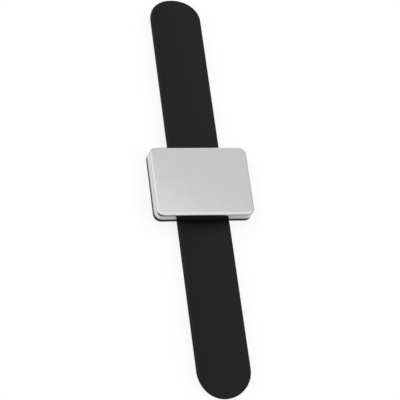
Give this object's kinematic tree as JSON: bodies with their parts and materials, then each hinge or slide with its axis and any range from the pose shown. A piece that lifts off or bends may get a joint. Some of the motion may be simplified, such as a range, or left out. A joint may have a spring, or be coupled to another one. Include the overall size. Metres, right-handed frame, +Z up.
{
  "type": "magnetic hair clip wristband",
  "caption": "Slap wristband of black silicone over a spring strip, with a polished steel magnetic plate that holds hair clips and wings that curl round the wrist.",
  "frame": {"origin": "on the surface that the straight band lies on, under the centre of the plate", "axes": "+Y along the band towards its back wing, +Z up out of the plate's face, +X across the band"},
  "size_m": [0.0528, 0.23, 0.0114],
  "materials": {
    "polished_steel": "polished",
    "silicone": "matte",
    "black_plastic": "satin",
    "spring_steel": "satin",
    "ferrite": "matte",
    "foam": "matte",
    "nickel": "gloss"
  },
  "bodies": {
    "plate": {"plate_cover": "polished_steel", "magnet_block": "ferrite", "magnet_pad": "foam", "base_tray": "black_plastic", "rivet_front": "nickel", "rivet_back": "nickel", "washer_front": "nickel", "washer_back": "nickel", "sleeve_centre": "silicone", "spring_centre": "spring_steel"},
    "front_link_1": {"sleeve_front_1": "silicone", "spring_front_1": "spring_steel"},
    "front_link_2": {"sleeve_front_2": "silicone", "spring_front_2": "spring_steel"},
    "front_link_3": {"sleeve_front_3": "silicone", "spring_front_3": "spring_steel"},
    "front_link_4": {"sleeve_front_4": "silicone", "spring_front_4": "spring_steel"},
    "front_link_5": {"sleeve_front_5": "silicone", "spring_front_5": "spring_steel"},
    "front_link_6": {"sleeve_front_6": "silicone", "spring_front_6": "spring_steel"},
    "front_link_7": {"sleeve_front_7": "silicone", "spring_front_7": "spring_steel"},
    "front_link_8": {"sleeve_front_8": "silicone", "spring_front_8": "spring_steel"},
    "front_link_9": {"sleeve_front_9": "silicone", "spring_front_9": "spring_steel"},
    "front_link_10": {"sleeve_front_10": "silicone", "spring_front_10": "spring_steel"},
    "front_link_11": {"sleeve_front_11": "silicone", "spring_front_11": "spring_steel"},
    "front_link_12": {"sleeve_front_12": "silicone", "spring_front_12": "spring_steel"},
    "back_link_1": {"sleeve_back_1": "silicone", "spring_back_1": "spring_steel"},
    "back_link_2": {"sleeve_back_2": "silicone", "spring_back_2": "spring_steel"},
    "back_link_3": {"sleeve_back_3": "silicone", "spring_back_3": "spring_steel"},
    "back_link_4": {"sleeve_back_4": "silicone", "spring_back_4": "spring_steel"},
    "back_link_5": {"sleeve_back_5": "silicone", "spring_back_5": "spring_steel"},
    "back_link_6": {"sleeve_back_6": "silicone", "spring_back_6": "spring_steel"},
    "back_link_7": {"sleeve_back_7": "silicone", "spring_back_7": "spring_steel"},
    "back_link_8": {"sleeve_back_8": "silicone", "spring_back_8": "spring_steel"},
    "back_link_9": {"sleeve_back_9": "silicone", "spring_back_9": "spring_steel"},
    "back_link_10": {"sleeve_back_10": "silicone", "spring_back_10": "spring_steel"},
    "back_link_11": {"sleeve_back_11": "silicone", "spring_back_11": "spring_steel"},
    "back_link_12": {"sleeve_back_12": "silicone", "spring_back_12": "spring_steel"}
  },
  "joints": [
    {"name": "front_curl", "type": "hinge", "parent": "plate", "child": "front_link_1", "pos_m": [0, -0.0195, 0], "axis": [1, 0, 0], "range_deg": [0, 31]},
    {"name": "front_curl_2", "type": "hinge", "parent": "front_link_1", "child": "front_link_2", "pos_m": [0, -0.02674, 0], "axis": [1, 0, 0], "range_deg": [0, 28]},
    {"name": "front_curl_3", "type": "hinge", "parent": "front_link_2", "child": "front_link_3", "pos_m": [0, -0.03397, 0], "axis": [1, 0, 0], "range_deg": [0, 25]},
    {"name": "front_curl_4", "type": "hinge", "parent": "front_link_3", "child": "front_link_4", "pos_m": [0, -0.04121, 0], "axis": [1, 0, 0], "range_deg": [0, 22]},
    {"name": "front_curl_5", "type": "hinge", "parent": "front_link_4", "child": "front_link_5", "pos_m": [0, -0.04845, 0], "axis": [1, 0, 0], "range_deg": [0, 20]},
    {"name": "front_curl_6", "type": "hinge", "parent": "front_link_5", "child": "front_link_6", "pos_m": [0, -0.05568, 0], "axis": [1, 0, 0], "range_deg": [0, 17]},
    {"name": "front_curl_7", "type": "hinge", "parent": "front_link_6", "child": "front_link_7", "pos_m": [0, -0.06292, 0], "axis": [1, 0, 0], "range_deg": [0, 15]},
    {"name": "front_curl_8", "type": "hinge", "parent": "front_link_7", "child": "front_link_8", "pos_m": [0, -0.07015, 0], "axis": [1, 0, 0], "range_deg": [0, 14]},
    {"name": "front_curl_9", "type": "hinge", "parent": "front_link_8", "child": "front_link_9", "pos_m": [0, -0.07739, 0], "axis": [1, 0, 0], "range_deg": [0, 13]},
    {"name": "front_curl_10", "type": "hinge", "parent": "front_link_9", "child": "front_link_10", "pos_m": [0, -0.08463, 0], "axis": [1, 0, 0], "range_deg": [0, 12]},
    {"name": "front_curl_11", "type": "hinge", "parent": "front_link_10", "child": "front_link_11", "pos_m": [0, -0.09186, 0], "axis": [1, 0, 0], "range_deg": [0, 13]},
    {"name": "front_curl_12", "type": "hinge", "parent": "front_link_11", "child": "front_link_12", "pos_m": [0, -0.0991, 0], "axis": [1, 0, 0], "range_deg": [0, 15]},
    {"name": "back_curl", "type": "hinge", "parent": "plate", "child": "back_link_1", "pos_m": [0, 0.0195, 0], "axis": [-1, 0, 0], "range_deg": [0, 26]},
    {"name": "back_curl_2", "type": "hinge", "parent": "back_link_1", "child": "back_link_2", "pos_m": [0, 0.02674, 0], "axis": [-1, 0, 0], "range_deg": [0, 25]},
    {"name": "back_curl_3", "type": "hinge", "parent": "back_link_2", "child": "back_link_3", "pos_m": [0, 0.03397, 0], "axis": [-1, 0, 0], "range_deg": [0, 23]},
    {"name": "back_curl_4", "type": "hinge", "parent": "back_link_3", "child": "back_link_4", "pos_m": [0, 0.04121, 0], "axis": [-1, 0, 0], "range_deg": [0, 21]},
    {"name": "back_curl_5", "type": "hinge", "parent": "back_link_4", "child": "back_link_5", "pos_m": [0, 0.04845, 0], "axis": [-1, 0, 0], "range_deg": [0, 19]},
    {"name": "back_curl_6", "type": "hinge", "parent": "back_link_5", "child": "back_link_6", "pos_m": [0, 0.05568, 0], "axis": [-1, 0, 0], "range_deg": [0, 16]},
    {"name": "back_curl_7", "type": "hinge", "parent": "back_link_6", "child": "back_link_7", "pos_m": [0, 0.06292, 0], "axis": [-1, 0, 0], "range_deg": [0, 14]},
    {"name": "back_curl_8", "type": "hinge", "parent": "back_link_7", "child": "back_link_8", "pos_m": [0, 0.07015, 0], "axis": [-1, 0, 0], "range_deg": [0, 13]},
    {"name": "back_curl_9", "type": "hinge", "parent": "back_link_8", "child": "back_link_9", "pos_m": [0, 0.07739, 0], "axis": [-1, 0, 0], "range_deg": [0, 12]},
    {"name": "back_curl_10", "type": "hinge", "parent": "back_link_9", "child": "back_link_10", "pos_m": [0, 0.08463, 0], "axis": [-1, 0, 0], "range_deg": [0, 11]},
    {"name": "back_curl_11", "type": "hinge", "parent": "back_link_10", "child": "back_link_11", "pos_m": [0, 0.09186, 0], "axis": [-1, 0, 0], "range_deg": [0, 10]},
    {"name": "back_curl_12", "type": "hinge", "parent": "back_link_11", "child": "back_link_12", "pos_m": [0, 0.0991, 0], "axis": [-1, 0, 0], "range_deg": [0, 12]}
  ],
  "couplings": [
    {"joint": "front_curl_2", "follows": "front_curl", "ratio": 0.9032},
    {"joint": "front_curl_3", "follows": "front_curl", "ratio": 0.8064},
    {"joint": "front_curl_4", "follows": "front_curl", "ratio": 0.7096},
    {"joint": "front_curl_5", "follows": "front_curl", "ratio": 0.6451},
    {"joint": "front_curl_6", "follows": "front_curl", "ratio": 0.5483},
    {"joint": "front_curl_7", "follows": "front_curl", "ratio": 0.4838},
    {"joint": "front_curl_8", "follows": "front_curl", "ratio": 0.4516},
    {"joint": "front_curl_9", "follows": "front_curl", "ratio": 0.4193},
    {"joint": "front_curl_10", "follows": "front_curl", "ratio": 0.387},
    {"joint": "front_curl_11", "follows": "front_curl", "ratio": 0.4193},
    {"joint": "front_curl_12", "follows": "front_curl", "ratio": 0.4838},
    {"joint": "back_curl_2", "follows": "back_curl", "ratio": 0.9615},
    {"joint": "back_curl_3", "follows": "back_curl", "ratio": 0.8846},
    {"joint": "back_curl_4", "follows": "back_curl", "ratio": 0.8076},
    {"joint": "back_curl_5", "follows": "back_curl", "ratio": 0.7307},
    {"joint": "back_curl_6", "follows": "back_curl", "ratio": 0.6153},
    {"joint": "back_curl_7", "follows": "back_curl", "ratio": 0.5384},
    {"joint": "back_curl_8", "follows": "back_curl", "ratio": 0.5},
    {"joint": "back_curl_9", "follows": "back_curl", "ratio": 0.4615},
    {"joint": "back_curl_10", "follows": "back_curl", "ratio": 0.423},
    {"joint": "back_curl_11", "follows": "back_curl", "ratio": 0.3846},
    {"joint": "back_curl_12", "follows": "back_curl", "ratio": 0.4615}
  ]
}
